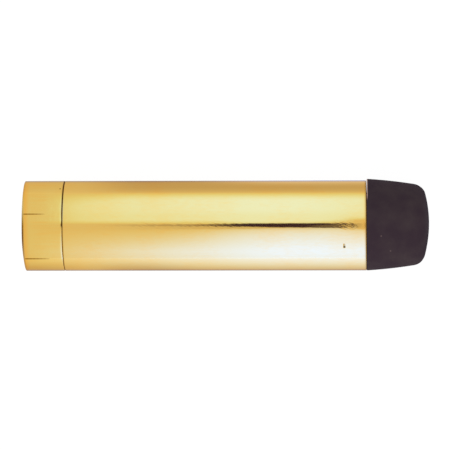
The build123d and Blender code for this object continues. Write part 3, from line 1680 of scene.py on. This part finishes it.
    def vault(self) -> bpy.types.Object:
        """The vault: x and the angle from straight up are the grid, at one radius from the axis.

        Its grid is close over the stop and at the gap. Overhead it darkens towards both ends, which
        only slanting views show.

        Returns:
            The vault.
        """
        close_start, close_end = -45.0, 75.0
        close = np.linspace(close_start, close_end, 121)
        away = np.linspace(close_end, self.vault_length / 2, 60)[1:]
        x = np.concatenate([close_start + close_end - np.flip(away), close, away])
        even = np.linspace(-self.vault_edge, self.vault_edge, 121)
        at_gap = np.linspace(-12.0, 14.0, 105)
        turn = np.unique(np.concatenate([even, at_gap]).round(4))
        x, turn = np.meshgrid(x, turn, indexing="ij")
        station = self.seen_station(x, self.vault_radius - self.at.outside)
        end_depth, bright_middle = 0.4, 60.0
        far_end = smoothstep(130.0, 450.0, np.abs(x - bright_middle))
        far_end = end_depth * far_end * smoothstep(70.0, 25.0, np.abs(turn))
        darkness = np.maximum(self.gap_darkness(station, turn), far_end)[..., None]
        light = self.far_box.light(self.far_level(station, turn))
        light = light + self.near_box.light(self.near_level(station, turn))
        light = light * (1.0 - darkness) + np.array(self.gap_glow) * darkness
        angle = np.radians(turn)
        points = np.stack(
            [x, self.vault_radius * np.sin(angle), self.vault_radius * np.cos(angle)], axis=-1
        )
        return self.card("vault", points, light, np.repeat(1.0 - darkness, 3, axis=-1))

    def floor_light(self, station: np.ndarray, y: np.ndarray, away: np.ndarray) -> np.ndarray:
        """Light from the floor: a pale blue card on the -Y side, and a glow on the +Y side.

        The blue card's level is 0.85 w / (w + 20), with w the distance away. The pale glow, under
        the barrel's far half, fades as exp(-w / 5.5).

        Args:
            station: Where the camera sees each place mirrored.
            y: Each place's side.
            away: How far it is beyond what the barrel hides.

        Returns:
            The light's red, green and blue.
        """
        blue_level, half_level_at, glow_fade = 0.85, 20.0, 5.5
        blue = blue_level * self.near_along(station) * away / (away + half_level_at) * (y < 0.0)
        glow = smoothstep(28.0, 50.0, station) * (station < self.boxes_end)
        glow = glow * np.exp(-away / glow_fade) * (y > 0.0)
        return self.near_box.light(blue) + self.contact_glow.light(glow)

    def floor_shadow(self, station: np.ndarray, y: np.ndarray, away: np.ndarray) -> np.ndarray:
        """Shadow on the floor: the stop's own on the -Y side, and a grey card on the +Y side.

        With w the distance away, the stop's own shadow fades as exp(-w / 10), or as exp(-w / 18)
        near the wall. The grey card is darker close to the barrel near the wall, and fades away
        over 108 mm.

        Args:
            station: Where the camera sees each place mirrored.
            y: Each place's side.
            away: How far it is beyond what the barrel hides.

        Returns:
            The share of light that it takes.
        """
        depth = 0.36 + 0.1 * hump(23.0, 8.0, station) - 0.12 * hump(11.5, 4.0, station)
        own_fade = 10.0 + 8.0 * smoothstep(32.0, 20.0, station)
        own_shadow = depth * np.exp(-away / own_fade) * (y < 0.0)
        fade_start, fade, close_fade = 30.0, 108.0, 5.0
        grey = (0.12 + 0.2 * smoothstep(9.0, 22.0, station)) * smoothstep(85.0, 70.0, station)
        grey = grey * np.exp(-np.clip(y - fade_start, 0.0, None) / fade) * (y > 0.0)
        close_by = np.exp(-away / close_fade) * smoothstep(32.0, 16.0, station)
        return own_shadow + grey * (1.0 + 0.4 * close_by)

    def contact_shadow(self, station: np.ndarray, y: np.ndarray) -> np.ndarray:
        """Shadow in the dark line of contact, right under the stop's sides.

        On both sides it fades as exp(-t * t), with t the distance from the side in widths.

        Args:
            station: Where the camera sees each place mirrored.
            y: Each place's side.

        Returns:
            The share of light that it takes.
        """
        under = np.clip(np.abs(y) - self.at.outside, 0.0, None)
        far_depth, far_width = 0.6 + 0.25 * smoothstep(35.0, 48.0, station), 4.2
        near_depth, near_width = 0.56, 3.4
        far = far_depth * hump(0.0, far_width, under) * (y > 0.0)
        return far + near_depth * hump(0.0, near_width, under) * (y < 0.0)

    def floor_cards(self) -> bpy.types.Object:
        """Cards on both sides of the stop: x and y are the grid, at one height.

        On each side y runs from 1 to 400 mm as a geometric series, so it is closest by the stop.

        Returns:
            The cards, as one object just over the floor.
        """
        above_floor, hidden = 0.05, 11.0
        sides = np.geomspace(1.0, 400.0, 70)
        x = np.linspace(-420.0, 300.0, 241)
        x, y = np.meshgrid(x, np.concatenate([-np.flip(sides), sides]), indexing="ij")
        station = self.seen_station(x, np.abs(y))
        away = np.clip(np.abs(y) - hidden, 0.0, None)
        light = self.floor_light(station, y, away)
        shadow = self.floor_shadow(station, y, away)[..., None]
        contact = self.contact_shadow(station, y)[..., None]
        left = 1.0 - contact * np.array(self.contact_shade)
        passed = (1.0 - shadow * np.array(self.shade)) * left
        z = np.full_like(x, above_floor - self.at.rim)
        return self.card("floor_cards", np.stack([x, y, z], axis=-1), light * left, passed)

    def card(
        self, name: str, points: np.ndarray, light: np.ndarray, passed: np.ndarray
    ) -> bpy.types.Object:
        """Makes a card that only mirror rays meet.

        Args:
            name: Its name.
            points: Its grid of points.
            light: Red, green and blue light at each point.
            passed: Share of red, green and blue light from behind that each point lets through.

        Returns:
            The card.
        """
        rows, columns = points.shape[:2]
        number = np.arange(rows * columns).reshape(rows, columns)
        quads = np.stack(
            [number[:-1, :-1], number[1:, :-1], number[1:, 1:], number[:-1, 1:]], axis=-1
        ).reshape(-1, 4)
        opaque = np.ones((rows * columns, 1))
        values = {
            "light": np.hstack([light.reshape(-1, 3), opaque]),
            "passed": np.hstack([passed.reshape(-1, 3), opaque]),
        }
        mesh = make_mesh(name, points.reshape(-1, 3), quads, np.empty((0, 3), int), values)
        material, tree = new_material(f"{name}_cloth")
        lit = add_node(tree, "ShaderNodeAttribute", attribute_name="light")
        through = add_node(tree, "ShaderNodeAttribute", attribute_name="passed")
        glow = add_node(
            tree, "ShaderNodeEmission", {"Color": lit.outputs["Color"], "Strength": 1.0}
        )
        clear = add_node(tree, "ShaderNodeBsdfTransparent", {"Color": through.outputs["Color"]})
        both = add_node(tree, "ShaderNodeAddShader", {0: glow.outputs[0], 1: clear.outputs[0]})
        add_node(tree, "ShaderNodeOutputMaterial", {"Surface": both.outputs[0]})
        material.cycles.emission_sampling = "NONE"
        card = add_object(mesh, material)
        for ray in ("camera", "diffuse", "transmission", "volume_scatter", "shadow"):
            setattr(card, f"visible_{ray}", False)
        card.light_linking.receiver_collection = self.receivers
        return card


@dataclass(frozen=True)
class PaleRoom:
    """The plain pale floor, the white room round it, and one soft lamp from the near side.

    Args:
        at: The shared places and radii.
        floor: The floor's colour.
        own_light: Share of the floor that camera and mirror rays see as white of its own, which
            leaves the stop only a faint shadow.
        white: Strength of that white.
        floor_size: The floor's width.
        lamp_watts: The lamp's power.
        lamp_size: Its width.
        lamp_place: Its place. It points at the axis.
    """

    at: Stations
    floor: str = "#E8E8E8"
    own_light: float = 0.88
    white: float = 1.06
    floor_size: float = 3000.0
    lamp_watts: float = 0.42
    lamp_size: float = 260.0
    lamp_place: tuple[float, float, float] = (40.0, -260.0, 230.0)

    def build(self) -> None:
        """Makes the floor, the world and the lamp."""
        self.lay_floor()
        self.light_world()
        self.hang_lamp()

    def lay_floor(self) -> None:
        """Lays the floor under the rim, the widest part, as one square of four corners."""
        half = self.floor_size / 2
        corners = np.array([[-half, -half], [half, -half], [half, half], [-half, half]])
        points = np.column_stack([corners, np.full(4, -self.at.rim)])
        mesh = make_mesh("floor", points, np.array([[0, 1, 2, 3]]), np.empty((0, 3), int), {})
        material, tree = new_material("pale_board")
        rays = add_node(tree, "ShaderNodeLightPath")
        camera_or_mirror = add_node(
            tree,
            "ShaderNodeMath",
            {0: rays.outputs["Is Camera Ray"], 1: rays.outputs["Is Glossy Ray"]},
            operation="MAXIMUM",
        )
        seen = add_node(
            tree,
            "ShaderNodeMath",
            {0: camera_or_mirror.outputs[0], 1: rays.outputs["Is Transmission Ray"]},
            operation="MAXIMUM",
        )
        share = add_node(
            tree, "ShaderNodeMath", {0: seen.outputs[0], 1: self.own_light}, operation="MULTIPLY"
        )
        board = add_node(tree, "ShaderNodeBsdfDiffuse", {"Color": linear_colour(self.floor)})
        white = add_node(tree, "ShaderNodeEmission", {"Strength": self.white})
        mixed = add_node(
            tree,
            "ShaderNodeMixShader",
            {0: share.outputs[0], 1: board.outputs[0], 2: white.outputs[0]},
        )
        add_node(tree, "ShaderNodeOutputMaterial", {"Surface": mixed.outputs[0]})
        material.cycles.emission_sampling = "NONE"
        add_object(mesh, material)

    def light_world(self) -> None:
        """Lights the room evenly, with white at a strength of 1."""
        world = bpy.data.worlds.new("white_room")
        world.use_nodes = True
        tree = world.node_tree
        tree.nodes.clear()
        sky = add_node(tree, "ShaderNodeBackground", {"Color": (1, 1, 1, 1), "Strength": 1.0})
        add_node(tree, "ShaderNodeOutputWorld", {"Surface": sky.outputs[0]})
        bpy.context.scene.world = world

    def hang_lamp(self) -> None:
        """Hangs a square soft lamp, which mirror rays don't meet, over the near side."""
        data = bpy.data.lights.new("soft_lamp", "AREA")
        data.shape = "SQUARE"
        data.size = self.lamp_size * MM
        data.energy = self.lamp_watts
        lamp = bpy.data.objects.new("soft_lamp", data)
        place = Vector(self.lamp_place) * MM
        lamp.location = place
        aim = Vector((self.lamp_place[0] * MM, 0.0, 0.0)) - place
        lamp.rotation_euler = aim.to_track_quat("-Z", "Y").to_euler()
        lamp.visible_glossy = False
        bpy.context.scene.collection.objects.link(lamp)


def main() -> None:
    """Builds the camera, the three pieces and the studio round them, and reports each piece."""
    logging.basicConfig(level=logging.INFO, format="%(name)s: %(message)s")
    bpy.context.scene.view_settings.view_transform = "Standard"
    at = Stations.of_frame()
    thread = FineThread()
    view = Viewpoint()
    view.build()
    base_finish = LacqueredBrass(
        "turned_brass_lacquered", BrassStock.TURNED, brass="#DFBB62", roughness=0.08
    )
    barrel_finish = LacqueredBrass("drawn_brass_lacquered", BrassStock.DRAWN)
    base = WallBase(at, thread, base_finish).build()
    barrel = Barrel(at, thread, barrel_finish).build()
    buffer = Buffer(at, MouldedRubber("nitrile_rubber_moulded")).build()
    for piece in (base, barrel, buffer):
        vertices, faces = len(piece.data.vertices), len(piece.data.polygons)
        log.info("%s: %d vertices, %d faces", piece.name, vertices, faces)
    receivers = bpy.data.collections.new("brass_pieces")
    for piece in (base, barrel):
        receivers.objects.link(piece)
    tent = SoftboxTent(view, receivers, at)
    tent.vault()
    tent.floor_cards()
    PaleRoom(at).build()


if __name__ == "__main__":
    main()
